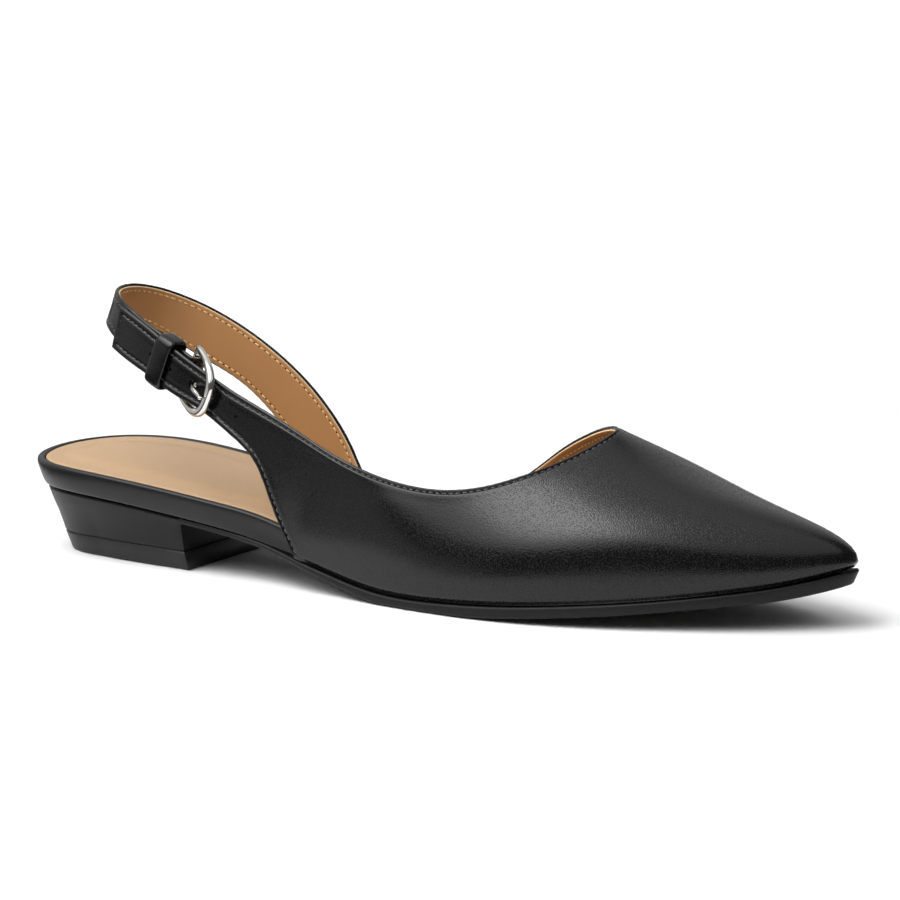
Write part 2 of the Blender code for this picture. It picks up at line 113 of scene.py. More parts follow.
NEEDLE_DEEP = 0.3
NEEDLE_OUTSIDE = 0.14  # the holes lie this far below the thread's middle
NEEDLE_INSIDE = 0.07

# Foot table, one row for each station from heel to toe
# x, outer edge y, inner edge y, height of the seat, sole thickness, footbed
FOOT = [
    (6.0, -18.2, 18.2, 20.7, 2.2, 7.4),
    (28.0, -28.6, 28.2, 20.3, 2.2, 7.4),
    (60.0, -28.8, 27.4, 17.1, 2.2, 7.5),
    (90.0, -29.3, 24.9, 12.7, 2.2, 7.4),
    (106.0, -30.8, 25.0, 9.2, 2.4, 6.8),
    (120.0, -32.8, 26.5, 6.1, 2.9, 5.8),
    (133.0, -34.9, 29.0, 3.8, 3.4, 4.8),
    (146.0, -36.8, 32.0, 3.1, 3.6, 4.2),
    (160.0, -38.1, 35.3, 3.5, 3.8, 3.8),
    (178.0, -38.0, 37.6, 4.6, 3.8, 3.5),
    (196.0, -34.9, 36.8, 6.1, 3.7, 3.3),
    (216.0, -28.2, 32.8, 8.0, 3.6, 3.2),
    (236.0, -19.0, 26.2, 10.5, 3.7, 3.1),
    (254.0, -8.0, 18.0, 13.5, 4.3, 3.0),
    (LENGTH, TOE_Y, TOE_Y, 16.6, 4.4, 3.0),
]

# Outer strap end and outer quarter, from the billet tip to the rear corner
# top edge x, y, z, then lower edge x, y, z
BILLET = [
    (39.0, -21.2, 77.0, 35.6, -21.0, 64.4),
    (48.0, -24.2, 73.6, 43.0, -23.8, 61.4),
    (58.0, -26.8, 69.0, 53.2, -26.4, 57.4),
    (67.0, -28.5, 64.6, 62.2, -28.1, 53.4),
    (76.0, -28.9, 60.0, 71.4, -28.6, 49.8),
    (86.0, -30.0, 55.6, 81.4, -30.0, 44.6),
    (97.0, -30.8, 51.2, 91.6, -31.0, 37.2),
    (108.0, -31.0, 46.2, 98.0, -31.3, 24.6),
]

# Vamp and the quarters where they stand on the sole
# top edge x, y, z, station on the sole, then the pull of the curve:
# drop and swell at the top edge, rise and flare at the sole
OUTER = [
    (119.0, -31.2, 41.1, 105.6, 10.5, 0.0, 11.5, 1.2),
    (137.0, -32.0, 36.1, 133.0, 6.0, 2.3, 13.0, 2.8),
    (154.0, -32.0, 34.5, 160.0, 11.5, 2.1, 10.0, 2.2),
    (168.0, -29.4, 36.4, 184.0, 15.0, 3.0, 14.0, 1.8),
    (179.0, -23.0, 40.2, 206.0, 20.5, 4.0, 21.5, 0.8),
    (187.0, -13.5, 44.2, 230.0, 27.5, 5.9, 20.0, 1.6),
    (191.8, -5.5, 47.8, 251.0, 28.5, 0.4, 18.0, 3.9),
]
THROAT = (193.0, 0.5, 49.6, LENGTH, 35.5, -4.0, 13.5, 4.4)
INNER = [
    (191.0, 5.6, 50.0, 252.0, 22.5, 4.5, 11.7, 4.1),
    (185.0, 11.0, 48.8, 233.0, 16.5, 4.7, 20.5, 1.7),
    (175.0, 17.6, 44.8, 212.0, 16.0, 4.8, 13.0, 1.2),
    (163.0, 24.4, 38.4, 188.0, 12.0, 3.0, 13.0, 1.2),
    (151.0, 29.2, 30.2, 162.0, 9.0, 1.6, 9.0, 1.2),
    (137.0, 29.2, 22.4, 136.0, 6.0, 0.8, 6.0, 1.0),
    (118.0, 27.0, 18.8, 112.0, 4.0, 0.4, 4.0, 0.6),
    (104.0, 26.8, 19.6, 98.0, 4.0, 0.4, 4.0, 0.6),
    (95.4, 27.4, 22.6, 88.0, 4.0, 0.4, 4.0, 0.6),
]

# Inner strap root and the sling round the heel to the buckle
SLING = [
    (91.0, 28.2, 28.4, 80.0, 27.0, 19.0),
    (87.4, 28.4, 34.6, 72.8, 27.2, 28.0),
    (80.2, 28.2, 44.0, 64.0, 26.4, 38.2),
    (69.0, 27.0, 55.0, 53.6, 24.6, 48.0),
    (55.0, 24.8, 65.0, 43.2, 22.0, 54.4),
    (41.0, 20.6, 72.8, 33.6, 17.8, 60.4),
    (31.8, 12.8, 77.8, 27.4, 11.2, 65.8),
    (28.3, 0.0, 80.6, 24.6, 0.0, 69.2),
    (31.2, -11.8, 80.2, 27.0, -11.2, 70.0),
    (39.0, -18.6, 77.4, 34.4, -18.0, 66.8),
    (50.0, -22.6, 72.6, 45.0, -21.8, 61.4),
    (65.4, -25.8, 65.6, 60.6, -25.2, 54.2),
]


def ease(x, start, end):
    """0 before start, 1 after end, smooth between."""
    t = np.clip((np.asarray(x, float) - start) / (end - start), 0.0, 1.0)
    return t * t * (3 - 2 * t)


def unit(way):
    return way / np.linalg.norm(way)


def lengths(points):
    """Length walked along a line of points, at each of them."""
    steps = np.linalg.norm(np.diff(points, axis=0), axis=1)
    return np.concatenate([[0.0], np.cumsum(steps)])


def fuller(c, power):
    """Cosine or sine of a round, filled out toward a square."""
    return math.copysign(abs(c) ** power, c)


def spline(knots, values):
    """Smooth curve through rows of values, with free ends."""
    x = np.asarray(knots, float)
    y = np.asarray(values, float)
    n = len(x)
    h = np.diff(x)
    grid = np.eye(n)
    right = np.zeros_like(y)
    for i in range(1, n - 1):
        grid[i, i - 1:i + 2] = h[i - 1], 2 * (h[i - 1] + h[i]), h[i]
        right[i] = 6 * ((y[i + 1] - y[i]) / h[i] - (y[i] - y[i - 1]) / h[i - 1])
    bend = np.linalg.solve(grid, right)

    def at(t):
        t = float(t)
        i = int(np.clip(np.searchsorted(x, t) - 1, 0, n - 2))
        a = (x[i + 1] - t) / h[i]
        b = (t - x[i]) / h[i]
        pull = ((a ** 3 - a) * bend[i] + (b ** 3 - b) * bend[i + 1]) * h[i] ** 2 / 6
        return a * y[i] + b * y[i + 1] + pull
    return at


def turn(x):
    """Station along the foot as an angle, 0 at the heel and pi at the toe."""
    return math.acos(max(-1.0, min(1.0, 1 - 2 * x / LENGTH)))


def station(angle):
    """The way back, from the angle to the station."""
    return LENGTH * (1 - math.cos(angle)) / 2


def outline_rows():
    rows = [(0.0, 0.0)] + [(turn(r[0]), r[1]) for r in FOOT]
    rows += [(math.tau - turn(r[0]), r[2]) for r in reversed(FOOT[:-1])]
    before = [(a - math.tau, y) for a, y in rows[-3:]]
    after = [(a + math.tau, y) for a, y in rows[:4]]
    return before + rows + after


OUTLINE = outline_rows()
edge_y = spline([r[0] for r in OUTLINE], [r[1] for r in OUTLINE])
HEIGHTS = [(0.0,) + FOOT[0][1:]] + FOOT
seat_z, sole_t, bed_t = (spline([r[0] for r in HEIGHTS], [r[k] for r in HEIGHTS])
                         for k in (3, 4, 5))


def bed_top(p):
    """Top of the footbed, a little higher along the arch side."""
    side = INNER_RISE * max(0.0, min(1.0, 0.5 + p[1] / RISE_ACROSS))
    return seat_z(p[0]) + bed_t(p[0]) + side * (1 - ease(p[0], *RISE_FADES))


def tread_z(x):
    """Underside of the sole: flat on the floor under the ball of the foot."""
    return max(0.0, seat_z(x) - sole_t(x))


def edge(angle, inset=0.0, inset_back=None):
    """Point on the foot outline, moved in by a distance, and the way out."""
    def on(a):
        return np.array([station(a), edge_y(a)])
    along = unit(on(angle + 1e-3) - on(angle - 1e-3))
    inward = np.array([-along[1], along[0]])
    back = inset if inset_back is None else inset_back
    move = inset + (back - inset) * max(0.0, inward[0]) ** 2
    return on(angle) + inward * move, -inward


def on_shoe(p):
    """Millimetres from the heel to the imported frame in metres."""
    return ((p[0] + HEEL_SHIFT[0]) * MM, (p[1] + HEEL_SHIFT[1]) * MM, p[2] * MM)


# Making pieces

SHARP = 50.0  # degrees; edges sharper than this stay crisp


def set_out(name, data):
    thing = bpy.data.objects.new(name, data)
    bpy.context.scene.collection.objects.link(thing)
    return thing


def shape(name, bm, finishes):
    mesh = bpy.data.meshes.new(name)
    bm.to_mesh(mesh)
    bm.free()
    for mat in finishes:
        mesh.materials.append(mat)
    return set_out(name, mesh)


def piece(name, bm, finishes, node, sharp=SHARP):
    """Mesh to a named piece that rides on the shoe and stands for its solid."""
    bmesh.ops.recalc_face_normals(bm, faces=bm.faces)
    thing = shape(name, bm, finishes)
    smooth(thing.data, sharp)
    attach(thing, "root")
    if node:
        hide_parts(node)
    return thing


def smooth(mesh, sharp):
    mesh.polygons.foreach_set("use_smooth", [True] * len(mesh.polygons))
    mesh.set_sharp_from_angle(angle=math.radians(sharp))


def freeze(thing, sharp=SHARP):
    """Keeps what the modifiers made as the piece's own mesh."""
    seen = thing.evaluated_get(bpy.context.evaluated_depsgraph_get())
    mesh = bpy.data.meshes.new_from_object(seen)
    thing.modifiers.clear()
    thing.data = mesh
    smooth(mesh, sharp)


def cutter(name, bm):
    """A tool that cuts, leaves inked edges and is then thrown away."""
    bmesh.ops.recalc_face_normals(bm, faces=bm.faces)
    # The cut walls take the ink, which is also painted shade: the holes come out dead black
    return shape(name, bm, [INK_AND_HOLE_SHADE])


def verts(bm, points):
    return [bm.verts.new(on_shoe(p)) for p in points]


def band(bm, low, high):
    """Faces between two closed rings of vertices."""
    for i in range(len(low)):
        k = (i + 1) % len(low)
        bm.faces.new((low[i], low[k], high[k], high[i]))


def tube(rings, closed=False):
    """Mesh through rings of equal count, its ends capped side to side."""
    bm = bmesh.new()
    loops = [verts(bm, ring) for ring in rings]
    pairs = list(zip(loops, loops[1:]))
    if closed:
        pairs.append((loops[-1], loops[0]))
    for low, high in pairs:
        band(bm, low, high)
    for ring in () if closed else (loops[0], loops[-1]):
        i, k = 0, len(ring) - 1
        while k - i > 2:
            bm.faces.new((ring[i], ring[i + 1], ring[k - 1], ring[k]))
            i, k = i + 1, k - 1
        if k - i == 2:
            bm.faces.new((ring[i], ring[i + 1], ring[k]))
    return bm


# Materials

CLOUDS = 26.0  # size of the slow tones of the dye, in millimetres
PITS, TOPS = 0.36, 0.5  # heights of the pebble that count as pit and as top
PRESSED = 0.45  # height of the pebble where it is pressed flat
PRESSED_LEFT = 0.2  # share of it that is left there
PLY = 0.797  # one ridge of a twisted thread, in millimetres
WAVE_BAND = math.tau / (10 * math.sqrt(3))  # a diagonal wave's, at scale 1


def srgb(text):
    """Hex colour as the eye sees it to the linear values of the shader."""
    parts = [int(text[i:i + 2], 16) / 255 for i in (1, 3, 5)]
    line = [c / 12.92 if c <= 0.04045 else ((c + 0.055) / 1.055) ** 2.4 for c in parts]
    return (*line, 1.0)


def add_node(tree, kind, settings=None, links=None):
    """One node with its settings, and links from other nodes' outputs."""
    made = tree.nodes.new(kind)
    for key, value in (settings or {}).items():
        if key in made.inputs:
            made.inputs[key].default_value = value
        else:
            setattr(made, key, value)
    for key, source in (links or {}).items():
        tree.links.new(source, made.inputs[key])
    return made


def finish(name):
    """New material with its shader and the place on the shoe in metres."""
    mat = bpy.data.materials.new(name)
    mat.use_nodes = True
    tree = mat.node_tree
    shader = tree.nodes["Principled BSDF"]
    spot = add_node(tree, "ShaderNodeTexCoord").outputs["Object"]
    return mat, tree, shader, spot


def per_mm(size):
    """Scale of a pattern whose cells are this many millimetres wide."""
    return 1.0 / (size * MM)


def tone_and_relief(tree, shader, tones, toned_by, strength, depth_mm, height):
    """Colour between two tones, and fine relief, into the shader."""
    tone = add_node(tree, "ShaderNodeMixRGB",
                    {"Color1": srgb(tones[0]), "Color2": srgb(tones[1])}, {"Fac": toned_by})
    bump = add_node(tree, "ShaderNodeBump",
                    {"Strength": strength, "Distance": depth_mm * MM}, {"Height": height})
    tree.links.new(tone.outputs["Color"], shader.inputs["Base Color"])
    tree.links.new(bump.outputs["Normal"], shader.inputs["Normal"])


def grained(name, tones, grain_mm, depth_mm, rough, ior, flat=()):
    """Leather or rubber: a fine pebble, dull in its pits, in slow tones.

    rough goes from the tops to the pits, and flat says where along an axis
    the pebble starts and ends to rise, in millimetres.
    """
    mat, tree, shader, spot = finish(name)
    pebble = add_node(tree, "ShaderNodeTexNoise",
                      {"Scale": per_mm(grain_mm), "Detail": 0.0}, {"Vector": spot})
    height = pebble.outputs["Fac"]
    for axis, (start, end) in flat:
        places = add_node(tree, "ShaderNodeSeparateXYZ", {}, {"Vector": spot})
        rise = add_node(tree, "ShaderNodeMapRange",
                        {"From Min": start * MM, "From Max": end * MM,
                         "To Min": PRESSED_LEFT}, {"Value": places.outputs[axis]})
        pressed = add_node(tree, "ShaderNodeMix", {"A": PRESSED},
                           {"Factor": rise.outputs["Result"], "B": height})
        height = pressed.outputs["Result"]
    clouds = add_node(tree, "ShaderNodeTexNoise",
                      {"Scale": per_mm(CLOUDS), "Detail": 2.0}, {"Vector": spot})
    gloss = add_node(tree, "ShaderNodeMapRange",
                     {"From Min": PITS, "From Max": TOPS, "To Min": rough[1],
                      "To Max": rough[0]}, {"Value": height})
    tone_and_relief(tree, shader, tones, clouds.outputs["Fac"], 1.0, depth_mm, height)
    tree.links.new(gloss.outputs["Result"], shader.inputs["Roughness"])
    shader.inputs["IOR"].default_value = ior
    return mat


CALF_DYE = ("#070607", "#0b0a0b")
CALF_GRAIN = 0.38
# Dyed calf leather with a rubbed finish: near black, with soft broad lights
# that break up into a fine pebble over the toes and lie smooth where the
# leather is pulled tight: on the straps and down at the sole
BLACK_CALF = grained("dyed calf leather, rubbed satin", CALF_DYE, CALF_GRAIN, 0.055,
                     (0.17, 0.43), 1.42, (("X", (5.0, 45.0)), ("Z", (13.0, 28.0))))
# The same leather pulled tight over an edge: the pebble is drawn flat
DRAWN_CALF = grained("dyed calf leather, drawn over an edge", CALF_DYE, CALF_GRAIN, 0.03,
                     (0.34, 0.42), 1.42)
# Skived thin and pasted round the heel it lies flat and a little duller
HEEL_CALF = grained("dyed calf leather, pasted round the heel", CALF_DYE, CALF_GRAIN, 0.03,
                    (0.42, 0.5), 1.33)
# Pigmented split lining: tan, dull, with close pores
TAN_LINING = grained("pigmented lining leather, tan", ("#a27344", "#b18251"), 0.4, 0.02,
                     (0.48, 0.55), 1.45)
# The sock is cut from a paler lining leather with a dry, rubbed face
TAN_SOCK = grained("sock leather, dry rubbed face", ("#ab8c69", "#b59673"), 0.45, 0.02,
                   (0.38, 0.48), 1.45)
# Cut through the lining the undyed fibres show as a pale line
CUT_EDGE = grained("cut edge of lining, undyed", ("#e0c194", "#ecd2a8"), 0.3, 0.03,
                   (0.7, 0.75), 1.45)
# Ink brushed on cut leather, and painted shade: dead black on the cut walls of the punched
# holes and in the needle's holes between the outer stitches, standing in for the shadow inside
# them
INK_AND_HOLE_SHADE = grained("edge ink on cut leather, painted shade in holes", ("#050505", "#080808"), 0.3, 0.03,
                   (0.7, 0.75), 1.4)
# Moulded rubber: a dull, slightly grey black with a spark-eroded grain
BLACK_RUBBER = grained("moulded rubber, spark grain", ("#0d0c0d", "#111011"), 0.35, 0.03,
                       (0.48, 0.55), 1.33)
# The top piece is harder, and buffed on its sides after it is nailed on
BUFFED_RUBBER = grained("hard rubber, buffed", ("#141314", "#191819"), 0.35, 0.03,
                        (0.42, 0.5), 1.4)


def thread(name, tones, rough):
    """Twisted polyester thread: the ply shows as slanted ridges."""
    mat, tree, shader, spot = finish(name)
    ply = add_node(tree, "ShaderNodeTexWave",
                   {"Scale": per_mm(PLY) * WAVE_BAND, "Distortion": 1.0,
                    "bands_direction": "DIAGONAL"}, {"Vector": spot})
    # The ply's ridges take the lighter tone and its grooves the darker: painted shade in the
    # grooves
    tone_and_relief(tree, shader, tones, ply.outputs["Fac"], 0.5, 0.05, ply.outputs["Fac"])
    shader.inputs["Roughness"].default_value = rough
    return mat


# Bonded black thread, painted grey: its black is coloured lighter than the leather as painted
# highlight for the glints it catches, with small bright lights
GREY_PAINTED_BLACK_THREAD = thread("black polyester thread, painted grey for its glints", ("#323133", "#5c5b5d"), 0.3)
# Soft cream thread: a row of pale dashes on the tan
CREAM_THREAD = thread("cream polyester thread", ("#c99c62", "#ecca92"), 0.45)
# Painted shade: where the needle goes through, the lining is coloured dark brown to stand in
# for the shadow in each needle hole
PAINTED_NEEDLE_SHADE = grained("lining leather, painted shade at the needle holes", ("#2b1a0c", "#3a2412"), 0.3,
                      0.02, (0.7, 0.75), 1.4)


def plated_steel():
    """Nickel-plated steel, tumbled bright: clear mirror with faint waves."""
    mat, tree, shader, spot = finish("nickel plated steel, tumbled bright")
    waves = add_node(tree, "ShaderNodeTexNoise", {"Scale": per_mm(1.6), "Detail": 2.0},
                     {"Vector": spot})
    rough = add_node(tree, "ShaderNodeMapRange", {"To Min": 0.06, "To Max": 0.14},
                     {"Value": waves.outputs["Fac"]})
    tone_and_relief(tree, shader, ("#d2d1cd", "#dddcd9"), waves.outputs["Fac"], 0.08, 0.1,
                    waves.outputs["Fac"])
    tree.links.new(rough.outputs["Result"], shader.inputs["Roughness"])
    shader.inputs["Metallic"].default_value = 1.0
    return mat


BRIGHT_PLATE = plated_steel()


# The band of the upper

def strap_rib(row):
    top = np.array(row[:3])
    low = np.array(row[3:6])
    return [top, top + (low - top) / 3, low + (top - low) / 3, low]


def foot_rib(row, inner):
    angle = turn(row[3])
    if inner:
        angle = math.tau - angle
    p, out = edge(angle)
    top = np.array(row[:3])
    low = np.array([p[0], p[1], seat_z(row[3])])
    out = np.array([out[0], out[1], 0.0])
    chord = unit(low - top)
    drop, swell, rise, flare = row[4:]
    lift = unit(out - chord * out.dot(chord))
    return [top, top + chord * drop + lift * swell, low + (0.0, 0.0, rise) + out * flare, low]


def sling_end(last, before):
    """The sling turns round the pivot bar and back on the inside."""
    top, low = np.array(last[:3]), np.array(last[3:6])
    mid = (top + low) / 2
    old = (np.array(before[:3]) + np.array(before[3:6])) / 2
    wide = unit(top - low)
    along = mid - old
    along = unit(along - wide * along.dot(wide))
    out = np.cross(wide, along)
    if out[1] > 0:
        out = -out
    radius = BAR_R + FIT + WALL
    centre = mid + along * SLING_RUN - out * radius
    half = wide * (np.linalg.norm(top - low) / 2)
    spots = []
    for degrees in (0, 45, 90, 135, 180):
        a = math.radians(degrees)
        spots.append(centre + out * radius * math.cos(a) + along * radius * math.sin(a))
    spots.append(centre - out * radius - along * SLING_RUN)
    rows = [strap_rib((*(p + half), *(p - half))) for p in spots]
    return rows, centre, along, wide, out


BUCKLE = sling_end(SLING[-1], SLING[-2])


class Upper:
    """The upper as one band: across from the top edge to the lower edge."""

    def __init__(self):
        outer = [foot_rib(r, False) for r in OUTER + [THROAT]]
        inner = [foot_rib(r, True) for r in INNER]
        ribs = [strap_rib(r) for r in BILLET] + outer + inner
        ribs = np.array(ribs + [strap_rib(r) for r in SLING] + BUCKLE[0])
        first = len(BILLET)
        last = first + len(outer) + len(inner) - 1
        step = np.linalg.norm(np.diff(ribs, axis=0), axis=2)
        self.knots = np.concatenate([[0], np.cumsum(step[:, [0, 3]].mean(axis=1))])
        self.end = self.knots[-1]
        self.hands = [spline(self.knots, ribs[:, k]) for k in range(3)]
        self.first, self.last = self.knots[first], self.knots[last]
        self.rear_outer = spline(self.knots[:first + 1], ribs[:first + 1, 3])
        self.rear_inner = spline(self.knots[last:], ribs[last:, 3])
        turns = [turn(r[3]) for r in OUTER] + [math.pi]
        turns += [math.tau - turn(r[3]) for r in INNER]
        self.turns = spline(self.knots[first:last + 1], turns)

    def lower(self, u):
        if u <= self.first:
            return self.rear_outer(u)
        if u >= self.last:
            return self.rear_inner(u)
        p, _ = edge(self.turns(u))
        return np.array([p[0], p[1], seat_z(p[0])])

    def rib(self, u):
        return np.array([hand(u) for hand in self.hands] + [self.lower(u)])

    def curve(self, u, v):
        """Points of one rib, v from 0 at the top edge to 1 at the lower."""
        return spread(v) @ self.rib(u)

    def point(self, u, v):
        return self.curve(u, [v])[0]

    def facing(self, u, v):
        """Ways out of the leather along one rib."""
        step = 0.12
        a = self.rib(max(0.0, u - step))
        b = self.rib(min(self.end, u + step))
        if u - step < self.first < u + step or u - step < self.last < u + step:
            mid = self.rib(u)
            a, b = (mid, b) if abs(u - self.last) > step else (a, mid)
        along = spread(v) @ (b - a)
        down = slope(v) @ self.rib(u)
        out = np.cross(down, along)
        return out / np.linalg.norm(out, axis=1)[:, None]


def spread(v):
    v = np.asarray(v, float)
    w = 1 - v
    return np.stack([w ** 3, 3 * w * w * v, 3 * w * v * v, v ** 3], axis=1)


def slope(v):
    v = np.asarray(v, float)
    w = 1 - v
    return 3 * np.stack([-w * w, w * w - 2 * w * v, 2 * w * v - v * v, v * v], axis=1)


UPPER = Upper()
FINE = np.linspace(0.0, 1.0, 121)  # shares across a rib
# Steps in from an edge, close together over the fold and the seam
EDGE_STEPS = (0.0, 0.1, 0.22, 0.38, 0.6, 0.9, 1.2, 1.45, 1.65, 1.8, 1.9, 2.0, 2.1, 2.2,
              2.35, 2.6, 3.0, 3.6)
END_STEPS = EDGE_STEPS[:7]  # the same at the ends of the band
END_CLEAR = 1.3  # where the even stations begin
STATION_STEP = 1.5  # their pitch along the band
MIDDLE = 34  # even steps across the middle of a rib
NARROW = 9.0  # on a narrow strap the steps shrink to its width over this
LINE_STEP = 0.2  # pitch of the points along an edge


def edge_tree(points):
    tree = kdtree.KDTree(len(points))
    for i, p in enumerate(points):
        tree.insert(Vector(p), i)
    tree.balance()
    return tree


def off_edge(tree, points):
    """How far each point lies from an edge."""
    return np.array([tree.find(Vector(p))[2] for p in points])


def run(start, end, step):
    return np.linspace(start, end, max(2, int(round((end - start) / step)) + 1))


TOP_LINE = [UPPER.point(u, 0.0) for u in run(0.0, UPPER.end, LINE_STEP)]
REAR_LINE = [UPPER.point(u, 1.0) for u in run(0.0, UPPER.first, LINE_STEP)]
SLING_LINE = [UPPER.point(u, 1.0) for u in run(UPPER.last, UPPER.end, LINE_STEP)]
ENDS = [*UPPER.curve(0.0, FINE), *UPPER.curve(UPPER.end, FINE)]
FREE_EDGES = edge_tree(TOP_LINE + REAR_LINE + SLING_LINE + ENDS)


def walk(u):
    """Length along a rib from the top edge at each fine share."""
    return lengths(UPPER.curve(u, FINE))


def rib_shares(u, top_in, low_in):
    """Shares across a rib, close together near both edges."""
    length = walk(u)
    low, high = top_in, length[-1] - low_in
    near = np.array(EDGE_STEPS) * min(seam_in(u) / 2, (high - low) / NARROW)
    middle = np.linspace(low + near[-1], high - near[-1], MIDDLE + 2)[1:-1]
    marks = np.concatenate([low + near, middle, high - near[::-1]])
    return np.interp(marks, length, FINE)


def band_stations(start, end):
    marks = [start + s for s in END_STEPS]
    inner = [k for k in UPPER.knots if start + STATION_STEP < k < end - STATION_STEP]
    stops = [start + END_CLEAR] + inner + [end - END_CLEAR]
    for a, b in zip(stops, stops[1:]):
        marks += list(run(a, b, STATION_STEP)[:-1])
    return marks + [end - s for s in reversed(END_STEPS)]


def grid_mesh(front, back, rim=0):
    """Closed shell between two grids of points, rim the material of its edges."""
    bm = bmesh.new()
    a = [verts(bm, row) for row in front]
    b = [verts(bm, row) for row in back]
    rows, cols = len(a), len(a[0])
    for i in range(rows - 1):
        for k in range(cols - 1):
            faces = (bm.faces.new((a[i][k], a[i][k + 1], a[i + 1][k + 1], a[i + 1][k])),
                     bm.faces.new((b[i][k], b[i + 1][k], b[i + 1][k + 1], b[i][k + 1])))
            if k in (0, cols - 2) or i in (0, rows - 2):
                for face in faces:
                    face.material_index = rim
    for i in range(rows - 1):
        for k in (0, cols - 1):
            bm.faces.new((a[i][k], a[i + 1][k], b[i + 1][k], b[i][k])).material_index = rim
    for k in range(cols - 1):
        for i in (0, rows - 1):
            bm.faces.new((a[i][k], a[i][k + 1], b[i][k + 1], b[i][k])).material_index = rim
    return bm


def on_vamp(u):
    """1 along the vamp, 0 along the straps."""
    there = ease(u, UPPER.knots[4], UPPER.first)
    return float(there * (1 - ease(u, UPPER.last - 30, UPPER.last)))


def seam_in(u):
    return SEAM_IN + (VAMP_SEAM_IN - SEAM_IN) * on_vamp(u)


def lining_seam_in(u):
    return SEAM_IN + (LINING_SEAM_IN - SEAM_IN) * on_vamp(u)


def fold_relief(d, u):
    """Height over the leather near a folded edge: a soft bead, then the seam."""
    at, deep = seam_in(u), GROOVE + VAMP_GROOVE * on_vamp(u)
    bead = BEAD * (1 - ease(d, at - 0.75, at - 0.3))
    seam = deep * np.exp(-((d - at) / GROOVE_HALF) ** 2)
    puff = PUFF * np.exp(-((d - at - 1.1) / 0.7) ** 2)
    return bead - seam + puff


def upper_leather():
    front, back = [], []
    for u in band_stations(0.0, UPPER.end):
        v = rib_shares(u, 0.0, 0.0)
        p, out = UPPER.curve(u, v), UPPER.facing(u, v)
        d = off_edge(FREE_EDGES, p)
        round_off = np.sqrt(np.maximum(0.05, 1 - (1 - np.minimum(1.0, d / FOLD_R)) ** 2))
        length = walk(u)
        to_sole = length[-1] - np.interp(v, FINE, length)
        on_sole = ease(u, UPPER.first - 1, UPPER.first + 4)
        on_sole = on_sole * (1 - ease(u, UPPER.last - 4, UPPER.last + 1))
        tuck = TUCK * on_sole * (1 - ease(to_sole, 0.0, TUCK_UP)) * ease(d, 0.0, 3.0)
        high = (round_off - 1) * SKIN / 2 + fold_relief(d, u) * ease(d, 0.0, 0.5) - tuck
        deep = -SKIN + (1 - round_off) * SKIN / 2
        front.append(p + out * high[:, None])
        back.append(p + out * deep[:, None])
    return piece("upper_leather", grid_mesh(front, back), [BLACK_CALF], "upper")


def upper_lining():
    front, back = [], []
    for u in band_stations(LINING_IN, UPPER.end - LINING_IN):
        free = 1 - ease(u, UPPER.first - 1, UPPER.first + 6)
        free = max(free, ease(u, UPPER.last - 6, UPPER.last + 1))
        low = LINING_IN - LINING_UP * on_vamp(u)
        v = rib_shares(u, low, 0.05 + (LINING_IN - 0.05) * free)
        p, out = UPPER.curve(u, v), UPPER.facing(u, v)
        d = off_edge(FREE_EDGES, p)
        round_off = ease(d - low, -0.1, 0.35)
        dimple = DIMPLE * np.exp(-((d - lining_seam_in(u)) / DIMPLE_HALF) ** 2)
        front.append(p - out * (SKIN + 0.02))
        back.append(p - out * (WALL - 0.25 * (1 - round_off) - dimple)[:, None])
    bm = grid_mesh(front, back, rim=1)
    return piece("upper_lining", bm, [TAN_LINING, CUT_EDGE], None)


# Sewing

SIXTHS = [math.pi * i / 3 for i in range(6)]  # angles round a thread or a hole


def seam_path(line, from_top, start, end, inset_at, lift_at):
    """Points lifted off the leather along a seam by an edge, and the ways out."""
    tree = edge_tree(line)
    spots, ways = [], []
    for u in run(start, end, 0.5):
        length = walk(u)
        near = np.linspace(0.0, min(9.0, length[-1] / 2 + 0.5), 60)
        marks = near if from_top else length[-1] - near
        v = np.interp(marks, length, FINE)
        p = UPPER.curve(u, v)
        d = off_edge(tree, p)
        inset = inset_at(u)
        if d[0] > inset or d.max() < inset:
            continue
        k = int(np.argmax(d >= inset))
        share = (inset - d[k - 1]) / (d[k] - d[k - 1])
        at = v[k - 1] + (v[k] - v[k - 1]) * share
        ways.append(UPPER.facing(u, [at])[0])
        spots.append(UPPER.point(u, at) + ways[-1] * lift_at(u))
    return np.array(spots), np.array(ways)


def sew(bm, spots, ways, side, sunk):
    """Stitches along a path, with the needle's holes between them.

    side is 1 outside and -1 on the lining, sunk how far the holes lie below.
    """
    length = lengths(spots)
    count = int(length[-1] / STITCH)
    marks = (np.arange(count) + 0.5) * length[-1] / count

    def at(rows, m):
        return np.array([np.interp(m, length, rows[:, k]) for k in range(3)])
    for m in marks:
        middle, out = at(spots, m), at(ways, m) * side
        along = unit(at(spots, m + 0.3) - at(spots, m - 0.3))
        out = unit(out - along * out.dot(along))
        across = np.cross(along, out)
        round_it = [across * math.cos(a) * THREAD_WIDE + out * math.sin(a) for a in SIXTHS]
        rings = []
        for share, thick in ((-1.0, 0.45), (-0.7, 0.9), (0.0, 1.0), (0.7, 0.9), (1.0, 0.45)):
            spot = middle + along * share * STITCH * STITCH_HALF - out * STITCH_DIP * share ** 2
            rings.append(verts(bm, [spot + way * THREAD_R * thick for way in round_it]))
        for low, high in zip(rings, rings[1:]):
            band(bm, low, high)
        bm.faces.new(rings[0][::-1])
        bm.faces.new(rings[-1])
        # The needle's hole between two stitches: a small cone in the second material, coloured
        # dark as painted shade
        hole = middle + along * STITCH * 0.5 - out * sunk
        rim = verts(bm, [hole + along * NEEDLE[0] * math.cos(a)
                         - across * NEEDLE[1] * math.sin(a) for a in SIXTHS])
        deep = bm.verts.new(on_shoe(hole - out * NEEDLE_DEEP))
        for corners in (rim, *((rim[i - 1], deep, rim[i]) for i in range(6))):
            bm.faces.new(corners).material_index = 1


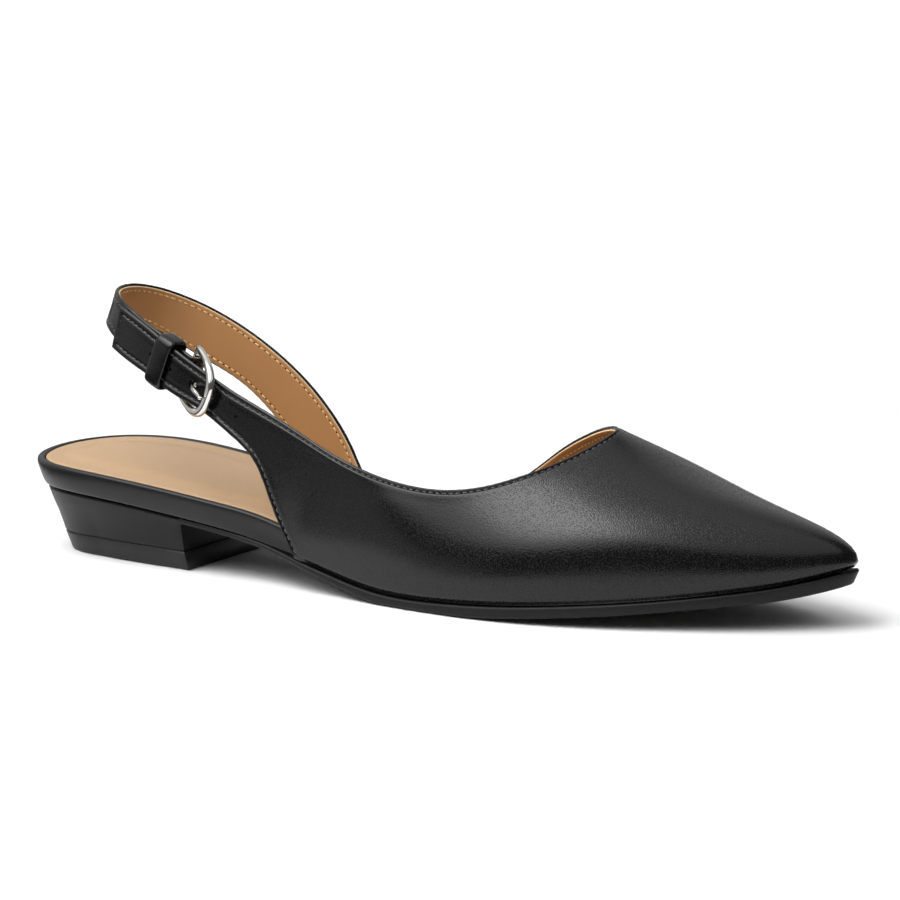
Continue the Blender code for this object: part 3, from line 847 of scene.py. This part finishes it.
def seams(inset_at, lift_at):
    """Every row of sewing on one face of the upper, as paths."""
    curl = UPPER.knots[-6]
    rows = [seam_path(TOP_LINE, True, SEAM_IN, curl, inset_at, lift_at),
            seam_path(REAR_LINE, False, SEAM_IN, UPPER.first + 14, inset_at, lift_at),
            seam_path(SLING_LINE, False, UPPER.last - 14, curl, inset_at, lift_at)]
    v = np.linspace(0.2, 0.8, 30)
    u = SEAM_IN
    out = UPPER.facing(u, v)
    rows.append((UPPER.curve(u, v) + out * lift_at(u), out))
    return rows


def sewing():
    outside, inside = bmesh.new(), bmesh.new()
    for spots, ways in seams(seam_in, lambda u: -THREAD_LOW - VAMP_LOW * on_vamp(u)):
        sew(outside, spots, ways, 1, NEEDLE_OUTSIDE)
    for spots, ways in seams(lining_seam_in, lambda u: THREAD_IN - WALL):
        sew(inside, spots, ways, -1, NEEDLE_INSIDE)
    # Each row's second material colours the needle's holes dark: painted shade between the
    # stitches
    piece("outer_stitches", outside, [GREY_PAINTED_BLACK_THREAD, INK_AND_HOLE_SHADE], None, 80)
    piece("lining_stitches", inside, [CREAM_THREAD, PAINTED_NEEDLE_SHADE], None, 80)


def billet_at(distance):
    """Middle of the billet, a distance from its tip, and the ways it faces."""
    u = walked = 0.0
    here = UPPER.point(u, 0.5)
    while walked < distance:
        u += 0.1
        there = UPPER.point(u, 0.5)
        walked += np.linalg.norm(there - here)
        here = there
    along = UPPER.point(u + 0.5, 0.5) - UPPER.point(u - 0.5, 0.5)
    wide = UPPER.point(u, 0.2) - UPPER.point(u, 0.8)
    out = unit(np.cross(along, wide))
    return here, unit(along), out if out[1] < 0 else -out


def square_up(centre, along, out):
    """Axes that carry a small piece: x along the strap, y across, z out."""
    x = Vector(along).normalized()
    z = Vector(out)
    z = (z - x * z.dot(x)).normalized()
    axes = Matrix((x, z.cross(x), z)).transposed().to_4x4()
    axes.translation = Vector(on_shoe(centre))
    return axes


def punch_straps(things):
    """Holes through the billet, and the slot where the prong holds the bar."""
    holes = bmesh.new()
    for i in range(HOLES):
        p, along, out = billet_at(FIRST_HOLE + HOLE_PITCH * i)
        radius = HOLE_R * (HOLE_WORN if i == PRONG_HOLE else HOLE_SPRUNG) * MM
        axes = square_up(p - out * WALL / 2, along, out)
        bmesh.ops.create_cone(holes, cap_ends=True, segments=24, radius1=radius,
                              radius2=radius, depth=(WALL + 0.6) * MM, matrix=axes)
    slot = bmesh.new()
    _, centre, along, _, out = BUCKLE
    axes = square_up(centre + along * 0.6 - out * 0.1, along, out)
    size = Matrix.Diagonal((*(s * MM for s in PRONG_SLOT), 1.0))
    bmesh.ops.create_cube(slot, size=1.0, matrix=axes @ size)
    tools = [cutter("holes", holes), cutter("slot", slot)]
    for thing in things:
        for tool in tools:
            cut = thing.modifiers.new("cut", "BOOLEAN")
            cut.operation, cut.solver, cut.material_mode = "DIFFERENCE", "EXACT", "TRANSFER"
            cut.object = tool
        freeze(thing)
    for tool in tools:
        bpy.data.objects.remove(tool, do_unlink=True)


# Footbed, sock, sole and heel

ROUND = 360  # points round the footbed
ROUND_TURNS = [math.tau * (i + 0.5) / ROUND for i in range(ROUND)]
OUTER_TUCK = (70.0, 94.0)  # stations where it slips inside the outer quarter
INNER_TUCK = (50.0, 74.0)  # and inside the inner one
TOE_TUCK = (235.0, 262.0)  # the toe of the upper is drawn in over it
TOE_IN = 0.6


def bed_inset(angle):
    """The footbed edge tucks inside the upper where the quarters begin."""
    x = station(angle)
    tuck = ease(x, *(OUTER_TUCK if angle < math.pi else INNER_TUCK))
    return (WALL + FIT) * tuck + TOE_IN * ease(x, *TOE_TUCK)


# Section of the wrapped footbed edge, from its underside over the rim
# inset, inset at the back, share of the height, lift
RAND = [
    (3.2, 4.6, 0.0, 0.05), (1.9, 3.3, 0.0, 0.0), (1.5, 2.9, 0.02, 0.0), (1.2, 2.4, 0.1, 0.0),
    (0.8, 1.7, 0.26, 0.0), (0.42, 1.1, 0.45, 0.0), (0.12, 0.45, 0.65, 0.0),
    (0.0, 0.05, 0.8, 0.0), (0.0, 0.0, 0.88, 0.0), (0.12, 0.12, 0.96, -0.1),
    (0.4, 0.4, 1.0, -0.12),
]
# inset, lift over the footbed top
RIM_ROLL = [(0.8, 0.02), (1.2, 0.05), (1.6, 0.0), (1.95, -0.14), (2.2, -0.4), (2.3, -1.4)]


def bed_ring(inset, back, part, lift):
    ring = []
    for a in ROUND_TURNS:
        hidden = min(1.0, bed_inset(a) / (WALL + FIT))
        extra = inset * (1 - hidden) + min(inset, 0.4) * hidden
        p, _ = edge(a, bed_inset(a) + extra, bed_inset(a) + back * (1 - hidden))
        low = seat_z(p[0])
        ring.append((p[0], p[1], low + part * (bed_top(p) - low) + lift))
    return ring


def deep_ring(inset, lift):
    ring = []
    for a in ROUND_TURNS:
        p, _ = edge(a, bed_inset(a) + inset)
        ring.append((p[0], p[1], bed_top(p) + lift))
    return ring


def footbed_rand():
    rings = [bed_ring(*row) for row in RAND] + [deep_ring(*row) for row in RIM_ROLL]
    piece("footbed_rand", tube(rings), [DRAWN_CALF], "footbed")


PAD_IN = 8.5  # the foam pad under the sock stops this far from its edge
PAD_UP = 0.55  # height of the pad
PAD_RISE = (3.0, 2.5)  # it rises from before that line to behind it
PRESS = 0.16  # the sock is pressed down round the pad
PRESS_OUT = 3.5  # this far outside its edge
PRESS_HALF = 2.2
SOCK_LOW = 0.12  # the sock lies below the rim of the footbed
SOCK_ACROSS = 36


def sock():
    """Sock leather with the foam pad raised under it."""
    rim = deep_ring(RIM + FIT + 0.15, -0.45)
    lip = deep_ring(RIM + FIT + 0.7, -SOCK_LOW)
    foot = deep_ring(RIM + FIT + 0.15, -SOCK - 0.2)
    far = edge_tree(lip)
    bm = bmesh.new()
    low, side, top = (verts(bm, ring) for ring in (foot, rim, lip))
    band(bm, low, side)
    band(bm, side, top)
    rows, under = [], []
    for i in range(ROUND // 2):
        a, b = np.array(lip[i]), np.array(lip[ROUND - 1 - i])
        row = [top[i]]
        for k in range(1, SOCK_ACROSS):
            p = a + (b - a) * k / SOCK_ACROSS
            d = far.find(Vector(p))[2]
            rise = ease(d, PAD_IN - PAD_RISE[0], PAD_IN + PAD_RISE[1])
            z = bed_top(p) - SOCK_LOW + PAD_UP * rise
            z -= PRESS * math.exp(-((d - PAD_IN + PRESS_OUT) / PRESS_HALF) ** 2)
            row.append(bm.verts.new(on_shoe((p[0], p[1], z))))
        rows.append(row + [top[ROUND - 1 - i]])
        under.append((low[i], low[ROUND - 1 - i]))
    for a, b in zip(rows, rows[1:]):
        for k in range(SOCK_ACROSS):
            bm.faces.new((a[k], a[k + 1], b[k + 1], b[k]))
    for a, b in zip(under, under[1:]):
        bm.faces.new((a[0], b[0], b[1], a[1]))
    bm.faces.new(rows[0])
    bm.faces.new(rows[-1])
    piece("sock", bm, [TAN_SOCK], "insole_sock")


SOLE_ROUND = 400  # points round the sole, from the breast to the breast
SOLE_START = turn(BREAST + FIT)
SOLE_STEP = (math.tau - 2 * SOLE_START) / (SOLE_ROUND - 1)
WAIST_IN = 2.0  # the sole is narrower than the foot at the waist
SPREAD = 2.4  # and spreads this much
SPREAD_AT = (88.0, 112.0)  # between these stations
TOE_BEVEL = 1.1  # its tread is cut back under the toe
TOE_BEVEL_AT = (240.0, 264.0)


def sole_ring(inset, top, lift):
    ring = []
    for i in range(SOLE_ROUND):
        a = SOLE_START + SOLE_STEP * i
        x = station(a)
        tuck = WAIST_IN - SPREAD * ease(x, *SPREAD_AT)
        bevel_in = 0.0 if top else TOE_BEVEL * ease(x, *TOE_BEVEL_AT)
        p, _ = edge(a, tuck + inset + bevel_in)
        x = max(p[0], BREAST + FIT + min(inset, 6.0) * 0.9)
        z = seat_z(x) - FIT if top else tread_z(x)
        ring.append((x, p[1], z + lift))
    return ring


# Section of the sole edge, from the tread up: inset, from the top, lift
SOLE_EDGE = [
    (5.6, False, 0.0), (4.9, False, 0.0), (4.7, False, 0.35), (4.1, False, 0.35),
    (3.9, False, 0.0), (1.3, False, 0.0), (0.85, False, 0.06), (0.45, False, 0.22),
    (0.15, False, 0.55), (0.0, False, 1.0), (0.0, True, -0.75), (0.1, True, -0.35),
    (0.35, True, -0.08), (0.7, True, 0.0), (2.5, True, 0.0),
]


def outsole():
    rings = [sole_ring(*row) for row in SOLE_EDGE]
    piece("outsole_rubber", tube(rings), [BLACK_RUBBER], "outsole", 40)


HEEL_ROUND = 121  # points round the heel
# Rings from the floor up: inset at the side, at the back, narrowing to the
# back, breast from its place, height, or None and the drop below the seat
HEEL = [
    (5.4, 7.0, 0.2, -0.2, LIFT + FIT), (5.0, 6.5, 0.18, -0.2, LIFT + 2.2),
    (4.1, 5.5, 0.12, -0.2, LIFT + 6.5), (3.6, 4.7, 0.07, -0.1, LIFT + 9.2),
    (3.0, 3.5, 0.0, 0.0, None, 1.15), (3.12, 3.62, 0.0, 0.0, None, 0.75),
    (3.5, 4.0, 0.0, 0.0, None, 0.35), (4.4, 4.9, 0.0, 0.0, None),
]
TOP_PIECE = [
    (6.8, 10.5, 0.2, 0.4, 0.0), (6.4, 10.1, 0.2, 0.6, 0.5),
    (5.3, 7.5, 0.2, 0.0, LIFT - 0.5), (5.6, 7.8, 0.2, -0.3, LIFT),
]


def heel_ring(side, back, narrow, ahead, height, drop=0.0):
    """Ring of the heel: it narrows to a round back, straight at the breast."""
    ring = []
    breast = BREAST + ahead
    reach = turn(breast)
    for i in range(HEEL_ROUND):
        a = reach - 2 * reach * i / (HEEL_ROUND - 1)
        p, _ = edge(a, side, back)
        x = breast if i in (0, HEEL_ROUND - 1) else min(p[0], breast)
        y = p[1] * (1 - narrow * min(1.0, (breast - x) / HEEL_TAPER))
        z = seat_z(x) - FIT - drop if height is None else height
        ring.append((x, y, z))
    return ring


def bevel(thing, width):
    soft = thing.modifiers.new("soft edges", "BEVEL")
    soft.width = width * MM
    soft.segments = 3
    soft.limit_method = "ANGLE"
    soft.angle_limit = math.radians(40.0)
    freeze(thing, 60)


def heel():
    """The covered block and its top piece, with softened edges."""
    cover = tube([heel_ring(*row) for row in HEEL])
    bevel(piece("heel_cover", cover, [HEEL_CALF], "heel_block"), 0.5)
    tread = tube([heel_ring(*row) for row in TOP_PIECE])
    bevel(piece("heel_tread", tread, [BUFFED_RUBBER], "heel_top_piece"), 0.25)


# Buckle and keeper

def nearest(target, start, end):
    """Point on the middle line of the band closest to a target."""
    best = min(np.linspace(start, end, 400),
               key=lambda u: np.linalg.norm(UPPER.point(u, 0.5) - target))
    return UPPER.point(best, 0.5)


def frame_axes():
    """The frame swings on the bar until its front lies on the billet."""
    _, centre, along, wide, out = BUCKLE
    for degrees in range(5, 60):
        tilt = math.radians(degrees)
        ahead = along * math.cos(tilt) + out * math.sin(tilt)
        front = centre + ahead * REACH
        rest = nearest(front, UPPER.knots[0], UPPER.first)
        if (front - rest).dot(out) > FRONT_R + FIT + 1.0:
            break
    up = np.cross(ahead, wide)
    return centre, ahead, wide, up if up[1] < 0 else -up


FRAME = frame_axes()


# Powers that fill a round out toward a square
WIRE_FULL = 0.85  # section of a plated wire
ARMS_FULL = 0.75  # ring of the buckle
LOOP_FULL = 0.4  # loop of the keeper
STRIP_FULL = (0.35, 0.8)  # section of its strip, across and through
# The front of the ring is so much wider and thicker than the bar
FRONT_WIDE, FRONT_THICK = 0.55, 0.2
BAR_STEPS = 8  # points along half the bar
ARMS_STEPS = 64  # and round the arms and the front
LOOP_STEPS = 120  # points round the keeper
STRIP_SIDES = 28  # and round its strip


def sweep(points, halves, flat, closed, sides):
    """Bar along a path: halves are half widths in the plane and across it."""
    points = np.array(points)
    count = len(points)
    rings = []
    for i in range(count):
        if closed:
            way = points[(i + 1) % count] - points[i - 1]
        else:
            way = points[min(i + 1, count - 1)] - points[max(i - 1, 0)]
        way = unit(way)
        rise = unit(flat - way * flat.dot(way))
        span = np.cross(way, rise)
        ring = []
        for k in range(sides):
            a = math.tau * k / sides
            c, d = fuller(math.cos(a), WIRE_FULL), fuller(math.sin(a), WIRE_FULL)
            ring.append(points[i] + span * halves[i][0] * c + rise * halves[i][1] * d)
        rings.append(ring)
    return tube(rings, closed)


def buckle_ring():
    """Ring with one straight side, the pivot bar, and a full front."""
    centre, ahead, wide, up = FRAME
    points, halves = [], []
    for i in range(2 * BAR_STEPS + 1):
        points.append(centre + wide * BAR_HALF * (1 - i / BAR_STEPS))
        halves.append((BAR_R, BAR_R))
    for i in range(1, ARMS_STEPS):
        a = math.pi * i / ARMS_STEPS
        full = math.sin(a)
        bow = BAR_HALF + SWELL * full ** 2
        side = -bow * fuller(math.cos(a), ARMS_FULL)
        points.append(centre + wide * side + ahead * REACH * fuller(full, ARMS_FULL))
        halves.append((BAR_R + FRONT_WIDE * full, BAR_R + FRONT_THICK * full))
    bm = sweep(points, halves, up, True, 20)
    piece("buckle_ring", bm, [BRIGHT_PLATE], "buckle_frame", 80)


def buckle_tongue():
    """Wire with an eye on the bar, up through the hole, onto the front."""
    centre, ahead, wide, up = FRAME
    hole, along, out = billet_at(FIRST_HOLE + HOLE_PITCH * PRONG_HOLE)
    eye = BAR_R + FIT + PRONG_R
    front = centre + ahead * REACH + up * (FRONT_R + PRONG_R + FIT)
    knots = []
    for degrees in range(300, 59, -30):
        a = math.radians(degrees)
        knots.append(centre + ahead * eye * math.cos(a) + up * eye * math.sin(a))
    # under the billet, out of its hole, onto the front and a little past it
    knots += [hole - along * 1.1 - out * (WALL + PRONG_R + 0.4), hole + along * 0.9 + out * 0.9,
              front - ahead * 2.4, front + ahead * 0.8]
    length = lengths(knots)
    path = spline(length, knots)
    marks = np.linspace(0.0, length[-1], 70)
    points = [path(m) for m in marks]
    halves = []
    for m in marks:
        tip = float(ease(m, length[-1] - 5.0, length[-1]))
        halves.append((PRONG_R * (1 - 0.25 * tip), PRONG_R * (1 - 0.35 * tip)))
    halves[0] = halves[-1] = (0.3, 0.25)
    bm = sweep(points, halves, wide, False, 14)
    piece("buckle_tongue", bm, [BRIGHT_PLATE], "buckle_prong", 80)


def keeper():
    """Loop of folded leather round the billet and the sling."""
    _, centre, along, wide, out = BUCKLE
    target = centre - along * KEEPER_BACK
    billet = nearest(target, UPPER.knots[0], UPPER.first)
    sling = nearest(target, UPPER.knots[-8], UPPER.knots[-6])
    middle = (billet + sling) / 2 - out * WALL / 2
    half_out = np.linalg.norm(billet - sling) / 2 + WALL / 2 + FIT + KEEPER_ROOM
    half = KEEPER_T / 2
    points = []
    for i in range(LOOP_STEPS):
        a = math.tau * i / LOOP_STEPS
        p = middle + wide * (KEEPER_HALF + half) * fuller(math.cos(a), LOOP_FULL)
        points.append(p + out * (half_out + half) * fuller(math.sin(a), LOOP_FULL))
    rings = []
    for i, p in enumerate(points):
        way = unit(points[(i + 1) % LOOP_STEPS] - points[i - 1])
        over = np.cross(along, way)
        if over.dot(p - middle) < 0:
            over = -over
        ring = []
        for k in range(STRIP_SIDES):
            a = math.tau * k / STRIP_SIDES
            c, d = fuller(math.cos(a), STRIP_FULL[0]), fuller(math.sin(a), STRIP_FULL[1])
            crown = KEEPER_CROWN * (1 - c * c) if d > 0 else 0.0
            ring.append(p + along * KEEPER / 2 * c + over * (half * d + crown))
        rings.append(ring)
    piece("keeper", tube(rings, True), [BLACK_CALF], "keeper_loop", 80)


# Studio

TARGET = (134.0, 0.0, 30.0)  # the camera looks here
YAW, ELEVATION, DISTANCE = math.radians(30.61), math.radians(10.45), 1200.0
RIGHT = Vector((math.cos(YAW), math.sin(YAW), 0.0))
PIXELS = 900  # width of the frame
FOCAL = 4135.06  # in those pixels
AIM = (16.88, 30.58)  # the middle of the frame, right of and above the target
SENSOR = 36.0
# Paper under the shoe, in metres: how far behind the shoe, its left and right side
PAPER = [(-0.4, -0.15, 0.17), (0.1, -0.165, 0.2), (2.9, -0.6, 0.64)]
PAPER_LOW = 0.0002  # it lies just under the tread
DOWN = (0.0, 0.0, -1.0)
# Lights, in metres: name, place, the way it faces, size, brightness, spin in degrees
PANELS = [
    ("ceiling", (0.0, -0.75, 2.0), DOWN, (6.0, 3.3), 0.84, 0.0),
    ("key softbox", (-0.763, -1.09, 1.0), DOWN, (1.8, 1.8), 2.2, 12.0),
    ("middle of the key softbox", (-0.28, -0.63, 0.99), DOWN, (0.88, 1.0), 2.5, 20.0),
    ("bulb of the key softbox", (-0.1, -0.47, 0.98), DOWN, (0.42, 0.6), 2.0, 20.0),
    ("backdrop light", (-0.4, 0.98, 1.5), (-0.45, 0.77, -0.45), (3.0, 0.9), 10.0, 0.0),
    ("left wall", (-1.6, -0.6, 0.31), (1.0, 0.0, 0.0), (2.6, 0.98), 0.46, 0.0),
    ("left front wall", (-1.6, -2.6, -0.05), (1.0, 0.0, 0.0), (1.4, 0.9), 0.44, 0.0),
    ("back wall", (-0.76, 1.29, 1.8), (0.51, -0.86, 0.0), (3.0, 3.1), 0.5, 0.0),
]


def place(thing, spot, facing, spin=0.0):
    """Sets a camera or a lamp where it stands, and turns it."""
    thing.location = spot
    thing.rotation_mode = "QUATERNION"
    turned = Quaternion((0.0, 0.0, 1.0), math.radians(spin))
    thing.rotation_quaternion = turned @ facing.to_track_quat("-Z", "Y")


def camera():
    back = Vector((math.sin(YAW) * math.cos(ELEVATION), -math.cos(YAW) * math.cos(ELEVATION),
                   math.sin(ELEVATION)))
    look = RIGHT * AIM[0] + back.cross(RIGHT) * AIM[1] - back * FOCAL
    lens = bpy.data.cameras.new("camera")
    lens.sensor_width = SENSOR
    lens.lens = FOCAL / PIXELS * SENSOR
    lens.clip_start, lens.clip_end = 0.05, 50.0
    thing = set_out("camera", lens)
    place(thing, Vector(on_shoe(TARGET)) + back * DISTANCE * MM, look)
    bpy.context.scene.camera = thing


def panel(name, spot, facing, size, bright, spin):
    """Panel of even light, as bright all over as this share of white."""
    lamp = bpy.data.lights.new(name, "AREA")
    lamp.shape = "RECTANGLE"
    lamp.size, lamp.size_y = size
    lamp.energy = bright * math.pi * size[0] * size[1]
    place(set_out(name, lamp), spot, Vector(facing), spin)


def studio():
    bm = bmesh.new()
    away = Vector((-math.sin(YAW), math.cos(YAW), 0.0))
    rows = [[bm.verts.new(away * reach + RIGHT * side) for side in sides]
            for reach, *sides in PAPER]
    for (a, b), (c, d) in zip(rows, rows[1:]):
        bm.faces.new((a, b, d, c))
    # Uncoated paper: an even white without a shine
    white, _, shader, _ = finish("white background paper, matt")
    shader.inputs["Base Color"].default_value = srgb("#f3f3f3")
    shader.inputs["Roughness"].default_value = 0.9
    floor = shape("floor", bm, [white])
    floor.location = (0.0, 0.0, -PAPER_LOW)
    world = bpy.data.worlds.new("studio")
    world.use_nodes = True
    shade = world.node_tree.nodes["Background"]
    shade.inputs["Color"].default_value = (1.0, 1.0, 1.0, 1.0)
    shade.inputs["Strength"].default_value = 0.1
    bpy.context.scene.world = world
    for row in PANELS:
        panel(*row)
    bpy.context.scene.view_settings.view_transform = "Standard"


camera()
punch_straps([upper_leather(), upper_lining()])
sewing()
footbed_rand()
sock()
outsole()
heel()
buckle_ring()
buckle_tongue()
keeper()
studio()
